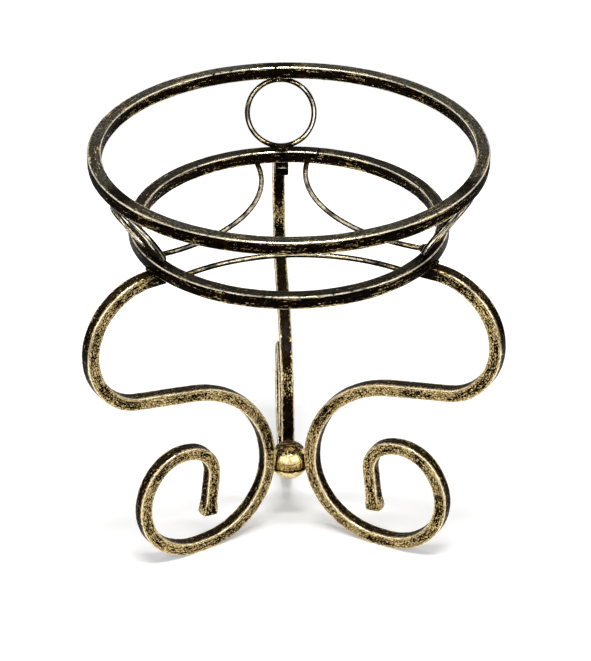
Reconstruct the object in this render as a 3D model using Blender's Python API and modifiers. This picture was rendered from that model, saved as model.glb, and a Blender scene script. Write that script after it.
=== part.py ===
# Welded iron plant stand. Two square-tube rings carry the pot's rim and body, three small wire
# rings hold them apart, three wire arcs stop the pot from dropping through, and three scroll
# legs, bent from the same tube, meet at a ball and stand on their curls.
# Units are metres, +Z is up, the floor is at Z = 0 and the back leg points along +Y.
import math

import bpy
from mathutils import Vector

# Clearance left between two pieces that touch
GAP = 0.0003
# Distance within which a mesh's points are one
MERGE = 0.00001

# Square tube of the rings and legs
TUBE_SIDE = 0.010
TUBE_CORNER = 0.0015

# Rings, by outer radius, and the height between their top faces
TOP_RING_RADIUS = 0.1425
LOWER_RING_RADIUS = 0.1155
RING_SPACING = 0.057

# Round wire of the link rings and support arcs
LINK_WIRE = 0.004
ARC_WIRE = 0.004
# Distance from a leg's middle to the nearest arc end, and how far the arc hangs under its ring
ARC_SIDE_OFFSET = 0.0185
ARC_DROP = 0.0015

# Leg, from the point nearest the axis up to its seat under the lower ring
KNEE_RADIUS = 0.078
RUN_SLOPE = 10.5
SHOULDER_LOW_RADIUS = 0.040
SHOULDER_LOW_SWEEP = 31.0
SHOULDER_TOP_RADIUS = 0.050

# Leg, from the same point down to its free end
SHIN_RADIUS = 0.0565
FOOT_FLAT = 0.006
HEEL_RADIUS = 0.045
HEEL_SWEEP = 130.0
CURL_RADIUS = 0.030
CURL_SWEEP = 70.0
TIP_RADIUS = 0.023
TIP_SWEEP = 77.0
TAIL_LENGTH = 0.034
# The hammered free end is wider than the tube, over this much of its length
FLARE_LENGTH = 0.010
FLARE_RATIO = 1.12

# Ball that joins the legs, and how far its centre lies under the legs' nearest point
BALL_RADIUS = 0.015
BALL_DROP = 0.010

# Weld beads, as half lengths along, across and above the joint
LINK_BEAD = (0.0045, 0.0023, 0.0021)
SEAT_BEAD = (0.0046, 0.0026, 0.0026)
ARC_BEAD = (0.0026, 0.0026, 0.0020)
BALL_BEAD = (0.0036, 0.0022, 0.0024)
BALL_BEAD_RISE = 0.0056

# How finely round shapes are divided
BEND_STEP = 7.5
CORNER_STEPS = 2
RING_STEPS = 72
LINK_STEPS = 36
WIRE_SIDES = 8
ARC_STEPS = 20
BALL_STEPS = 24
BEAD_STEPS = 12
CUTTER_STEPS = 72
# Spare size by which a cutter runs past what it cuts
CUTTER_MARGIN = 0.010

LEG_COUNT = 3
LEG_NAMES = ("back", "left", "right")
LEG_AZIMUTHS = tuple(math.radians(90 + turn * 360 / LEG_COUNT) for turn in range(LEG_COUNT))
HALF_SECTOR = math.pi / LEG_COUNT


for leftover in list(bpy.data.objects):
    bpy.data.objects.remove(leftover, do_unlink=True)

parts = bpy.data.collections.new("plant_stand")
cutters = bpy.data.collections.new("cutters")
bpy.context.scene.collection.children.link(parts)
bpy.context.scene.collection.children.link(cutters)


# Finishes

def makeFinish(name, colour, roughness, metallic):
    finish = bpy.data.materials.new(name)
    finish.use_nodes = True
    shader = finish.node_tree.nodes["Principled BSDF"]
    shader.inputs["Base Color"].default_value = (*colour, 1.0)
    shader.inputs["Roughness"].default_value = roughness
    shader.inputs["Metallic"].default_value = metallic
    finish.diffuse_color = (*colour, 1.0)
    return finish


ringFinish = makeFinish("ring_bronze", (0.085, 0.070, 0.042), 0.42, 0.85)
legFinish = makeFinish("leg_bronze", (0.150, 0.115, 0.058), 0.45, 0.85)
wireFinish = makeFinish("wire_bronze", (0.070, 0.060, 0.040), 0.36, 0.85)
ballFinish = makeFinish("ball_gold", (0.420, 0.310, 0.130), 0.28, 0.95)
weldFinish = makeFinish("weld_dark", (0.050, 0.042, 0.030), 0.60, 0.70)


# Placing

axis = bpy.data.objects.new("stand_axis", None)
parts.objects.link(axis)


def moveTo(piece, collection):
    for holder in list(piece.users_collection):
        holder.objects.unlink(piece)
    collection.objects.link(piece)


def addPart(piece, name, finish, smooth=True):
    # Names a piece, gives it its finish and hangs it on the stand's axis
    piece.name = name
    piece.data.name = name
    moveTo(piece, parts)
    piece.parent = axis
    piece.data.materials.clear()
    piece.data.materials.append(finish)
    if smooth and piece.type == "MESH":
        piece.data.shade_smooth()
    return piece


def addCutter(piece, name):
    piece.name = name
    moveTo(piece, cutters)
    piece.parent = axis
    piece.hide_render = True
    piece.display_type = "WIRE"
    return piece


def onSector(radius, azimuth, height):
    # A point at this radius and turn about the stand's axis
    return Vector((radius * math.cos(azimuth), radius * math.sin(azimuth), height))


# Lines and sections

def drawPath(start, heading, moves):
    # Walks a centre line in a plane. A run goes straight, and a bend turns by its sweep, in
    # degrees, to the left when positive.
    points = [Vector(start)]
    for kind, size, sweep in moves:
        here = points[-1]
        if kind == "run":
            points.append(here + size * Vector((math.cos(heading), math.sin(heading))))
            continue
        turn = math.radians(sweep)
        side = math.copysign(1.0, turn)
        centre = here + side * size * Vector((-math.sin(heading), math.cos(heading)))
        steps = math.ceil(abs(sweep) / BEND_STEP)
        for step in range(1, steps + 1):
            angle = heading + turn * step / steps
            points.append(centre + side * size * Vector((math.sin(angle), -math.cos(angle))))
        heading += turn
    return points


def roundedSquare(side, corner):
    # The tube's outline about its middle, turning clockwise
    inset = side / 2 - corner
    points = []
    for quarter in range(4):
        middle = math.pi / 4 - quarter * math.pi / 2
        cornerX = math.copysign(inset, math.cos(middle))
        cornerY = math.copysign(inset, math.sin(middle))
        for step in range(CORNER_STEPS + 1):
            angle = middle + math.pi / 4 - step * math.pi / 2 / CORNER_STEPS
            points.append((cornerX + corner * math.cos(angle), cornerY + corner * math.sin(angle)))
    return points


def makeCurve(name, points, closed=False, ratios=None):
    # A flat curve through the given points. Ratios widen its section at single points.
    curve = bpy.data.curves.new(name, "CURVE")
    curve.dimensions = "2D"
    curve.fill_mode = "NONE"
    spline = curve.splines.new("POLY")
    spline.points.add(len(points) - 1)
    for index, (x, y) in enumerate(points):
        spline.points[index].co = (x, y, 0.0, 1.0)
    if ratios:
        for index, ratio in enumerate(ratios):
            spline.points[index].radius = ratio
    spline.use_cyclic_u = closed
    piece = bpy.data.objects.new(name, curve)
    bpy.context.scene.collection.objects.link(piece)
    return piece


section = addCutter(makeCurve("tube_section", roundedSquare(TUBE_SIDE, TUBE_CORNER), closed=True), "tube_section")


# Leg line, worked out in a plane of radius and height

lowerRingBore = LOWER_RING_RADIUS - TUBE_SIDE

# The ball touches the outside of the shin's bend, below the legs' nearest point
ballToShin = BALL_RADIUS + GAP + SHIN_RADIUS + TUBE_SIDE / 2
waistRadius = math.sqrt(ballToShin ** 2 - BALL_DROP ** 2) - SHIN_RADIUS

knee = ("bend", KNEE_RADIUS, RUN_SLOPE - 90)
shoulder = [
    ("bend", SHOULDER_LOW_RADIUS, SHOULDER_LOW_SWEEP),
    ("bend", SHOULDER_TOP_RADIUS, 180 - RUN_SLOPE - SHOULDER_LOW_SWEEP),
    ("run", TUBE_SIDE, 0),
]
# The run between knee and shoulder is as long as it takes to end flush with the ring's bore
reachWithoutRun = drawPath((waistRadius, 0), math.pi / 2, [knee] + shoulder)[-1].x
runLength = (lowerRingBore - reachWithoutRun) / math.cos(math.radians(RUN_SLOPE))
upperLine = drawPath((waistRadius, 0), math.pi / 2, [knee, ("run", runLength, 0)] + shoulder)

lowerLine = drawPath((waistRadius, 0), -math.pi / 2, [
    ("bend", SHIN_RADIUS, 90),
    ("run", FOOT_FLAT, 0),
    ("bend", HEEL_RADIUS, HEEL_SWEEP),
    ("bend", CURL_RADIUS, CURL_SWEEP),
    ("bend", TIP_RADIUS, TIP_SWEEP),
    ("run", TAIL_LENGTH - FLARE_LENGTH, 0),
    ("run", FLARE_LENGTH / 2, 0),
    ("run", FLARE_LENGTH / 2, 0),
])
waistHeight = TUBE_SIDE / 2 - min(point.y for point in lowerLine)
legLine = [point + Vector((0, waistHeight)) for point in upperLine[::-1] + lowerLine[1:]]
flare = [1.0] * (len(legLine) - 2) + [(1 + FLARE_RATIO) / 2, FLARE_RATIO]

# Heights of the rings follow from the legs
lowerRingBase = legLine[0].y + TUBE_SIDE / 2 + GAP
lowerRingTop = lowerRingBase + TUBE_SIDE
topRingBase = lowerRingTop + RING_SPACING - TUBE_SIDE

# The axis stands off the origin so that the origin is the middle of the stand's footprint
backReach = max(point.x for point in legLine) + TUBE_SIDE / 2
legFrontReach = backReach * math.cos(HALF_SECTOR) + TUBE_SIDE / 2 * math.sin(HALF_SECTOR)
frontReach = max(TOP_RING_RADIUS, LOWER_RING_RADIUS, legFrontReach)
axis.location = (0, (frontReach - backReach) / 2, 0)


# Rings

def makeRing(name, outerRadius, base):
    # The tube's outline, turned about the axis
    middle = Vector((outerRadius - TUBE_SIDE / 2, base + TUBE_SIDE / 2))
    outline = [middle + Vector(point) for point in roundedSquare(TUBE_SIDE, TUBE_CORNER)]
    mesh = bpy.data.meshes.new(name)
    edges = [(index, (index + 1) % len(outline)) for index in range(len(outline))]
    mesh.from_pydata([(point.x, 0, point.y) for point in outline], edges, [])
    ring = bpy.data.objects.new(name, mesh)
    bpy.context.scene.collection.objects.link(ring)
    turn = ring.modifiers.new("turn", "SCREW")
    turn.steps = RING_STEPS
    turn.render_steps = RING_STEPS
    turn.use_merge_vertices = True
    turn.merge_threshold = MERGE
    turn.use_smooth_shade = True
    return addPart(ring, name, ringFinish, smooth=False)


makeRing("top_ring", TOP_RING_RADIUS, topRingBase)
makeRing("lower_ring", LOWER_RING_RADIUS, lowerRingBase)


# Legs

def makeLeg(name, azimuth):
    leg = makeCurve(name, legLine, ratios=flare)
    leg.data.bevel_mode = "OBJECT"
    leg.data.bevel_object = section
    leg.data.use_fill_caps = True
    leg.rotation_euler = (math.pi / 2, 0, azimuth)
    return addPart(leg, name, legFinish)


for legName, azimuth in zip(LEG_NAMES, LEG_AZIMUTHS):
    makeLeg("leg_" + legName, azimuth)


# Link rings, each leaning out from the middle of the lower ring to the middle of the top ring

linkFoot = Vector((LOWER_RING_RADIUS - TUBE_SIDE / 2, lowerRingTop + GAP + LINK_WIRE / 2))
linkHead = Vector((TOP_RING_RADIUS - TUBE_SIDE / 2, topRingBase - GAP - LINK_WIRE / 2))
linkRadius = (linkHead - linkFoot).length / 2
linkMiddle = (linkHead + linkFoot) / 2
linkLean = math.atan2(linkHead.x - linkFoot.x, linkHead.y - linkFoot.y)


def makeLinkRing(azimuth, wireRadius):
    bpy.ops.mesh.primitive_torus_add(
        location=onSector(linkMiddle.x, azimuth, linkMiddle.y),
        rotation=(math.pi / 2 - linkLean, 0, azimuth - math.pi / 2),
        major_segments=LINK_STEPS,
        minor_segments=WIRE_SIDES,
        major_radius=linkRadius,
        minor_radius=wireRadius,
    )
    return bpy.context.object


for legName, azimuth in zip(LEG_NAMES, LEG_AZIMUTHS):
    addPart(makeLinkRing(azimuth, LINK_WIRE / 2), "link_ring_" + legName, wireFinish)


# Support arcs, square to the lower ring's bore at both ends

arcEndRadius = lowerRingBore - GAP
arcHalfAngle = HALF_SECTOR - math.asin(ARC_SIDE_OFFSET / arcEndRadius)
arcRadius = arcEndRadius * math.tan(arcHalfAngle)
arcCentre = arcEndRadius / math.cos(arcHalfAngle)
arcHeight = lowerRingBase + ARC_WIRE / 2 - ARC_DROP


def makeArc(name, azimuth):
    sweep = math.pi / 2 - arcHalfAngle
    points = []
    for step in range(ARC_STEPS + 1):
        angle = sweep * (2 * step / ARC_STEPS - 1)
        points.append((arcCentre - arcRadius * math.cos(angle), arcRadius * math.sin(angle)))
    arc = makeCurve(name, points)
    arc.data.bevel_depth = ARC_WIRE / 2
    arc.data.bevel_resolution = WIRE_SIDES // 4
    arc.data.use_fill_caps = True
    arc.location = (0, 0, arcHeight)
    arc.rotation_euler = (0, 0, azimuth)
    return addPart(arc, name, wireFinish)


# Each arc faces away from the leg that it is named against, between the other two
ARC_NAMES = ("front", "right", "left")
arcAzimuths = tuple(azimuth + math.pi for azimuth in LEG_AZIMUTHS)
for arcName, azimuth in zip(ARC_NAMES, arcAzimuths):
    makeArc("support_arc_" + arcName, azimuth)


# Ball

ballHeight = waistHeight - BALL_DROP


def makeSphere(radii, location, rotation, steps):
    bpy.ops.mesh.primitive_uv_sphere_add(
        segments=steps, ring_count=steps // 2, radius=1, location=location, rotation=rotation, scale=radii
    )
    bpy.ops.object.transform_apply(location=False, rotation=False, scale=True)
    return bpy.context.object


ball = makeSphere((BALL_RADIUS,) * 3, (0, 0, ballHeight), (0, 0, 0), BALL_STEPS)
addPart(ball, "centre_ball", ballFinish)


# Cutters that shape the weld beads, each one clearance bigger than the piece that it stands for

def makeDisc(name, radius, low, high):
    bpy.ops.mesh.primitive_cylinder_add(
        vertices=CUTTER_STEPS, radius=radius, depth=high - low, location=(0, 0, (low + high) / 2)
    )
    return addCutter(bpy.context.object, name)


def makeRodCutter(name, middle, rotation, radius, length):
    bpy.ops.mesh.primitive_cylinder_add(
        vertices=CUTTER_STEPS, radius=radius, depth=length, location=middle, rotation=rotation
    )
    return addCutter(bpy.context.object, name)


wideRadius = TOP_RING_RADIUS + CUTTER_MARGIN
belowLink = makeDisc("below_link", wideRadius, lowerRingBase, lowerRingTop + GAP)
aboveLink = makeDisc("above_link", wideRadius, topRingBase - GAP, topRingBase + TUBE_SIDE)
# A link ring's beads stay on the side of its wire that faces the axis
wireFlank = LINK_WIRE / 2 * math.sin(math.pi / 4)
footFlank = makeDisc("foot_flank", linkFoot.x - wireFlank, lowerRingTop, lowerRingTop + CUTTER_MARGIN)
headFlank = makeDisc("head_flank", linkHead.x - wireFlank, topRingBase - CUTTER_MARGIN, topRingBase)
ringOutside = makeDisc("ring_outside", LOWER_RING_RADIUS + GAP, lowerRingBase - CUTTER_MARGIN, lowerRingTop)
legTopFace = makeDisc("leg_top_face", wideRadius, lowerRingBase - CUTTER_MARGIN, lowerRingBase)
ringBore = makeDisc("ring_bore", arcEndRadius, lowerRingBase - CUTTER_MARGIN, lowerRingTop + CUTTER_MARGIN)
ballSpace = addCutter(
    makeSphere((BALL_RADIUS + GAP,) * 3, (0, 0, ballHeight), (0, 0, 0), CUTTER_STEPS), "ball_space"
)


# Weld beads

def makeBead(name, radii, location, rotation, cuts):
    bead = makeSphere(radii, location, rotation, BEAD_STEPS)
    for operation, cutter in cuts:
        cut = bead.modifiers.new(cutter.name, "BOOLEAN")
        cut.operation = operation
        cut.solver = "EXACT"
        cut.object = cutter
    return addPart(bead, name, weldFinish)


def beadTurn(azimuth):
    # Lays a bead's length along the ring at this azimuth and its width along the radius
    return (0, 0, azimuth - math.pi / 2)


shinCentre = Vector((waistRadius + SHIN_RADIUS, waistHeight))
ballCentre = Vector((0, ballHeight))
toShin = (shinCentre - ballCentre).normalized()
ballTouch = ballCentre + (BALL_RADIUS + GAP / 2) * toShin
ballBead = ballTouch + BALL_BEAD_RISE * Vector((-toShin.y, toShin.x))

for legName, azimuth in zip(LEG_NAMES, LEG_AZIMUTHS):
    wireSpace = addCutter(makeLinkRing(azimuth, LINK_WIRE / 2 + GAP), "wire_space_" + legName)
    makeBead(
        "weld_link_foot_" + legName,
        LINK_BEAD,
        onSector(linkFoot.x - LINK_WIRE / 2, azimuth, lowerRingTop),
        beadTurn(azimuth),
        [("INTERSECT", footFlank), ("DIFFERENCE", belowLink), ("DIFFERENCE", wireSpace)],
    )
    makeBead(
        "weld_link_head_" + legName,
        LINK_BEAD,
        onSector(linkHead.x - LINK_WIRE / 2, azimuth, topRingBase),
        beadTurn(azimuth),
        [("INTERSECT", headFlank), ("DIFFERENCE", aboveLink), ("DIFFERENCE", wireSpace)],
    )
    makeBead(
        "weld_leg_seat_" + legName,
        SEAT_BEAD,
        onSector(LOWER_RING_RADIUS, azimuth, lowerRingBase),
        beadTurn(azimuth),
        [("DIFFERENCE", ringOutside), ("DIFFERENCE", legTopFace)],
    )
    shinSpace = makeRodCutter(
        "shin_space_" + legName,
        onSector(shinCentre.x, azimuth, shinCentre.y),
        (math.pi / 2, 0, azimuth),
        SHIN_RADIUS + TUBE_SIDE / 2 + GAP,
        TUBE_SIDE + CUTTER_MARGIN,
    )
    makeBead(
        "weld_leg_ball_" + legName,
        BALL_BEAD,
        onSector(ballBead.x, azimuth, ballBead.y),
        (math.atan2(toShin.y, toShin.x), 0, azimuth - math.pi / 2),
        [("DIFFERENCE", ballSpace), ("DIFFERENCE", shinSpace)],
    )

for arcName, azimuth in zip(ARC_NAMES, arcAzimuths):
    for endName, turn in (("start", -arcHalfAngle), ("end", arcHalfAngle)):
        endAzimuth = azimuth + turn
        endName = "_".join((arcName, endName))
        wireEnd = makeRodCutter(
            "arc_space_" + endName,
            onSector(arcEndRadius, endAzimuth, arcHeight),
            (0, math.pi / 2, endAzimuth),
            ARC_WIRE / 2 + GAP,
            2 * CUTTER_MARGIN,
        )
        makeBead(
            "weld_arc_" + endName,
            ARC_BEAD,
            onSector(arcEndRadius, endAzimuth, arcHeight + ARC_WIRE / 2),
            beadTurn(endAzimuth),
            [("INTERSECT", ringBore), ("DIFFERENCE", wireEnd)],
        )
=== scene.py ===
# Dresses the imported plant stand: bent square tube, round wire, a ball and lumpy welds, all under
# dark lacquer with gold rubbed over it. Lengths are in metres, angles in degrees.
import math

import bpy
import numpy as np
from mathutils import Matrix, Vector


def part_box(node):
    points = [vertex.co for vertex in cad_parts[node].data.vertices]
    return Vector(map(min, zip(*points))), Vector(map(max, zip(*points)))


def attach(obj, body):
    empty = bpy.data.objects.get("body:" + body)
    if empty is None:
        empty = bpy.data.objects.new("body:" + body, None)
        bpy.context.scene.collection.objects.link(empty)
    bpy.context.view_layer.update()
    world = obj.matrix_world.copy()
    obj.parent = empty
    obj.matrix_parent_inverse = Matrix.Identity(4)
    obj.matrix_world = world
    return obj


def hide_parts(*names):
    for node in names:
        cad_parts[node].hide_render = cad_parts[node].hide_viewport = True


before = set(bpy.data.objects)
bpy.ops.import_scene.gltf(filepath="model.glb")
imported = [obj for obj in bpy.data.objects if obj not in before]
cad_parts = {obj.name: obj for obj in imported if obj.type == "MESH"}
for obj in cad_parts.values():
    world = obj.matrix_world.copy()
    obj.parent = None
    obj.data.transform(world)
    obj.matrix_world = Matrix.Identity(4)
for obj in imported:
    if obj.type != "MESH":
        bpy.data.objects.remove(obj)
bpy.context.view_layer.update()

print("frame loaded,", len(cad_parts), "nodes")


# What the frame says about the stand

def boxOf(node):
    # A node's lowest and highest corners
    low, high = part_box(node)
    return np.array(low), np.array(high)


topLow, topHigh = boxOf("top_ring")
lowerLow, lowerHigh = boxOf("lower_ring")
ballLow, ballHigh = boxOf("centre_ball")
axisPoint = np.array([(topLow[0] + topHigh[0]) / 2, (topLow[1] + topHigh[1]) / 2, 0.0])
barSide = topHigh[2] - topLow[2]
ballRadius = (ballHigh[0] - ballLow[0]) / 2
# Seen from above, counted from the right
legAngles = {"back": 90.0, "left": 210.0, "right": 330.0}
arcAngles = {"front": 270.0, "right": 30.0, "left": 150.0}


# Camera

view = {
    "place": (-0.0820, -1.7039, 1.1613),
    "downTilt": 30.5,      # degrees under the horizon
    "turn": -2.94,         # degrees to the left of straight on
    "focal": 145.3,        # mm on the sensor below
    "sensor": 36.0,
}


def addObject(name, data):
    item = bpy.data.objects.new(name, data)
    bpy.context.scene.collection.objects.link(item)
    return item


def makeCamera():
    # A camera that stands where the photograph was taken from
    lens = bpy.data.cameras.new("studio_camera")
    lens.sensor_width = view["sensor"]
    lens.lens = view["focal"]
    camera = addObject("studio_camera", lens)
    camera.location = view["place"]
    camera.rotation_euler = (math.radians(90 - view["downTilt"]), 0.0, math.radians(view["turn"]))
    bpy.context.scene.camera = camera


makeCamera()


# Node helpers

def feedNode(node, inputs):
    # Links each input that comes from another node, and sets the others to their values
    for key, value in inputs.items():
        if isinstance(value, bpy.types.NodeSocket):
            node.id_data.links.new(value, node.inputs[key])
        else:
            node.inputs[key].default_value = value
    return node


def addNode(tree, kind, inputs=None, **settings):
    node = tree.nodes.new(kind)
    for key, value in settings.items():
        setattr(node, key, value)
    return feedNode(node, inputs or {})


def nextNode(kind, inputs, **settings):
    # Adds a node to the tree of the sockets that it is fed from
    sockets = (value for value in inputs.values() if isinstance(value, bpy.types.NodeSocket))
    return addNode(next(sockets).id_data, kind, inputs, **settings)


def mathNode(operation, first, second=0.0, third=0.0, clamp=False):
    inputs = {0: first, 1: second, 2: third}
    return nextNode("ShaderNodeMath", inputs, operation=operation, use_clamp=clamp).outputs[0]


def multiply(first, second, clamp=False):
    return mathNode("MULTIPLY", first, second, clamp=clamp)


def multiplyAdd(first, second, third, clamp=False):
    return mathNode("MULTIPLY_ADD", first, second, third, clamp)


def subtract(first, second):
    return mathNode("SUBTRACT", first, second)


def larger(first, second):
    return mathNode("MAXIMUM", first, second)


def rangeNode(value, low, high, toLow=0.0, toHigh=1.0):
    # Goes smoothly from toLow at low to toHigh at high, and stays there
    inputs = {"Value": value, "From Min": low, "From Max": high, "To Min": toLow, "To Max": toHigh}
    return nextNode("ShaderNodeMapRange", inputs, interpolation_type="SMOOTHSTEP").outputs[0]


def mixColours(factor, first, second):
    # The colour sockets of a Mix node are its seventh and eighth
    inputs = {0: factor, 6: first, 7: second}
    return nextNode("ShaderNodeMix", inputs, data_type="RGBA").outputs[2]


def noiseNode(place, scale, detail=2.0, roughness=0.5, distortion=0.0):
    inputs = {
        "Vector": place, "Scale": scale, "Detail": detail, "Roughness": roughness,
        "Distortion": distortion,
    }
    return nextNode("ShaderNodeTexNoise", inputs).outputs[0]


def vectorNode(operation, first, second=(0, 0, 0)):
    return nextNode("ShaderNodeVectorMath", {0: first, 1: second}, operation=operation).outputs


socketKinds = {
    "vector": "NodeSocketVector", "value": "NodeSocketFloat", "colour": "NodeSocketColor",
}


def startGroup(name, inputs, outputs):
    # A node group with these named inputs and outputs. Gives the group, what flows in and the
    # node that takes the results.
    group = bpy.data.node_groups.new(name, "ShaderNodeTree")
    for label, kind, start in inputs:
        socket = group.interface.new_socket(label, in_out="INPUT", socket_type=socketKinds[kind])
        socket.default_value = start
    for label, kind in outputs:
        group.interface.new_socket(label, in_out="OUTPUT", socket_type=socketKinds[kind])
    given = group.nodes.new("NodeGroupInput").outputs
    return group, given, group.nodes.new("NodeGroupOutput")


def useGroup(tree, group, inputs):
    node = tree.nodes.new("ShaderNodeGroup")
    node.node_tree = group
    return feedNode(node, inputs).outputs


# Effects shared by the finishes

fleckMix = {
    # Each noise: octaves, roughness of the octaves, distortion
    "specks": (2.5, 0.60, 0.6), "strokes": (2.0, 0.55, 0.2), "pits": (2.0, 0.6, 0.3),
    "strokeStretch": (0.16, 0.9, 0.9),
    "patchOctaves": 1.5, "patchCut": (0.34, 0.66),
    "patchGold": 0.9,       # gold in a patch of middling density, for an amount of 1
    "noGold": 0.625,        # the noise has to pass this level where no gold is wanted
    "perGold": 0.15,        # and this much less for each unit of gold
    "fleckCut": (-0.008, 0.022),
    "pitScale": 1.15, "pitCut": (0.525, 0.565),     # pits are this much finer than the flecks
    "toneScale": 0.7, "toneOctaves": 2.0, "toneCut": (0.32, 0.68),
    "shift": (0.31, 0.17, 0.23),    # sets the pits and the tone apart from the specks
}


def makeFleckGroup():
    # Gold in specks and in strokes along the bar: two fine noises, one drawn far out, cut at a
    # level that drifts from patch to patch, so that some stretches carry more gold than others.
    # Fine pits break it up, and a slower noise gives each fleck its tone.
    mix = fleckMix
    group, given, result = startGroup(
        "goldFlecks",
        [("Place", "vector", (0, 0, 0)), ("Amount", "value", 0.5), ("Size", "value", 0.0012),
         ("Drawn Out", "value", 0.45), ("Strokes", "value", 0.38), ("Patch Size", "value", 0.05),
         ("Patchy", "value", 0.9), ("Pits", "value", 0.6)],
        [("Mask", "value"), ("Tone", "value")],
    )
    fineScale = mathNode("DIVIDE", 1.0, given["Size"])
    patchScale = mathNode("DIVIDE", 1.0, given["Patch Size"])
    stretch = nextNode("ShaderNodeCombineXYZ", {0: given["Drawn Out"], 1: 1.0, 2: 1.0})
    drawn = vectorNode("MULTIPLY", given["Place"], stretch.outputs[0])[0]
    specks = noiseNode(drawn, fineScale, *mix["specks"])
    strokePlace = vectorNode("MULTIPLY", drawn, mix["strokeStretch"])[0]
    strokes = noiseNode(strokePlace, fineScale, *mix["strokes"])
    fine = multiplyAdd(subtract(strokes, specks), given["Strokes"], specks)
    patchNoise = noiseNode(given["Place"], patchScale, mix["patchOctaves"])
    patch = subtract(rangeNode(patchNoise, *mix["patchCut"]), 0.5)
    wanted = multiply(given["Amount"], multiplyAdd(patch, given["Patchy"], mix["patchGold"]))
    level = subtract(mix["noGold"], multiply(wanted, mix["perGold"]))
    mask = rangeNode(subtract(fine, level), *mix["fleckCut"])
    moved = vectorNode("ADD", drawn, mix["shift"])[0]
    pitNoise = noiseNode(moved, multiply(fineScale, mix["pitScale"]), *mix["pits"])
    pits = multiply(rangeNode(pitNoise, *mix["pitCut"]), given["Pits"])
    tone = noiseNode(moved, multiply(fineScale, mix["toneScale"]), mix["toneOctaves"])
    feedNode(result, {
        "Mask": multiply(mask, subtract(1.0, pits)), "Tone": rangeNode(tone, *mix["toneCut"]),
    })
    return group


layerMix = {
    # Each noise: cells per metre, octaves, roughness of the octaves
    "mottle": (220.0, 3.0, 0.6), "streak": (800.0, 2.5, 0.65), "streakStretch": (0.4, 1.0, 1.0),
    "brownCut": (0.40, 0.75),       # where the mottle shows brown in the lacquer
    "filmCut": (0.38, 0.62), "filmLeast": 0.10,
    "wornCut": (0.36, 0.50), "wornStreak": 0.5, "wornMottle": 0.5,
    "roughCut": (0.3, 0.7), "rough": (0.28, 0.40), "wornSmoother": 0.10,
    "coat": (0.01, 0.0),            # clear coat on lacquer and on bare gold
    "streakHeight": 0.5, "fleckHeight": 0.35,
}
layerColours = {
    "Lacquer": (0.0016, 0.0009, 0.0006, 1), "Brown": (0.013, 0.0068, 0.0022, 1),
    "Bronze": (0.085, 0.067, 0.038, 1), "Deep Gold": (0.30, 0.17, 0.042, 1),
    "Pale Gold": (0.82, 0.66, 0.33, 1), "Rubbed": (0.95, 0.86, 0.66, 1),
}


def makeLayerGroup():
    # The layers of the finish from the metal out: black lacquer with brown in it, a thin film of
    # bronze powder, gold flecks, and pale gold where an edge is rubbed through. On the bars' upper
    # faces the film is painted light, and on the wires the pale gold lies on painted highlight
    # lines.
    mix = layerMix
    group, given, result = startGroup(
        "bronzeLayers",
        [("Place", "vector", (0, 0, 0)), ("Flecks", "value", 0.0), ("Tone", "value", 0.5),
         ("Edge", "value", 0.0), ("Film", "value", 0.0), ("Polish", "value", 0.0)]
        + [(label, "colour", colour) for label, colour in layerColours.items()],
        [("Colour", "colour"), ("Metallic", "value"), ("Roughness", "value"),
         ("Coat", "value"), ("Height", "value")],
    )
    mottle = noiseNode(given["Place"], *mix["mottle"])
    streakPlace = vectorNode("MULTIPLY", given["Place"], mix["streakStretch"])[0]
    streak = noiseNode(streakPlace, *mix["streak"])
    brown = rangeNode(mottle, *mix["brownCut"])
    ground = mixColours(brown, given["Lacquer"], given["Brown"])
    thick = rangeNode(streak, *mix["filmCut"], mix["filmLeast"], 1.0)
    filmMask = multiply(given["Film"], thick)
    filmed = mixColours(filmMask, ground, given["Bronze"])
    gold = mixColours(given["Tone"], given["Deep Gold"], given["Pale Gold"])
    flecked = mixColours(given["Flecks"], filmed, gold)
    uneven = multiplyAdd(streak, mix["wornStreak"], multiply(mottle, mix["wornMottle"]))
    worn = multiply(given["Edge"], rangeNode(uneven, *mix["wornCut"]), clamp=True)
    bare = larger(given["Flecks"], worn)
    rough = rangeNode(mottle, *mix["roughCut"], *mix["rough"])
    rough = multiplyAdd(worn, -mix["wornSmoother"], rough)
    raised = multiply(given["Flecks"], mix["fleckHeight"])
    feedNode(result, {
        "Colour": mixColours(worn, flecked, given["Rubbed"]),
        "Metallic": larger(bare, filmMask),
        "Roughness": multiply(rough, subtract(1.0, given["Polish"])),
        "Coat": rangeNode(bare, 0.0, 1.0, *mix["coat"]),
        "Height": multiplyAdd(streak, mix["streakHeight"], raised),
    })
    return group


def makeUpwardGroup():
    # How far a face looks up, from 0 on a wall to 1 on a floor: the height of its unit normal
    limits = [("From", "value", 0.55), ("To", "value", 0.9)]
    group, given, result = startGroup("upward", limits, [("Mask", "value")])
    normal = addNode(group, "ShaderNodeNewGeometry").outputs["Normal"]
    height = nextNode("ShaderNodeSeparateXYZ", {0: normal}).outputs["Z"]
    feedNode(result, {"Mask": rangeNode(height, given["From"], given["To"])})
    return group


fleckGroup = makeFleckGroup()
layerGroup = makeLayerGroup()
upwardGroup = makeUpwardGroup()
print("effects made")


# Finishes

def startFinish(name):
    finish = bpy.data.materials.new(name)
    finish.use_nodes = True
    tree = finish.node_tree
    return finish, tree, tree.nodes["Principled BSDF"]


def readWear(tree):
    # The place along and across the bar, and the masks that a piece carries: edge, flank and end
    place = addNode(tree, "ShaderNodeAttribute", attribute_name="grainPlace").outputs["Vector"]
    masks = addNode(tree, "ShaderNodeAttribute", attribute_name="wearMasks").outputs["Vector"]
    parted = nextNode("ShaderNodeSeparateXYZ", {0: masks}).outputs
    return place, parted["X"], parted["Y"], parted["Z"]


lacquerGloss = {"Coat Roughness": 0.12, "Specular IOR Level": 0.006}


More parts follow.
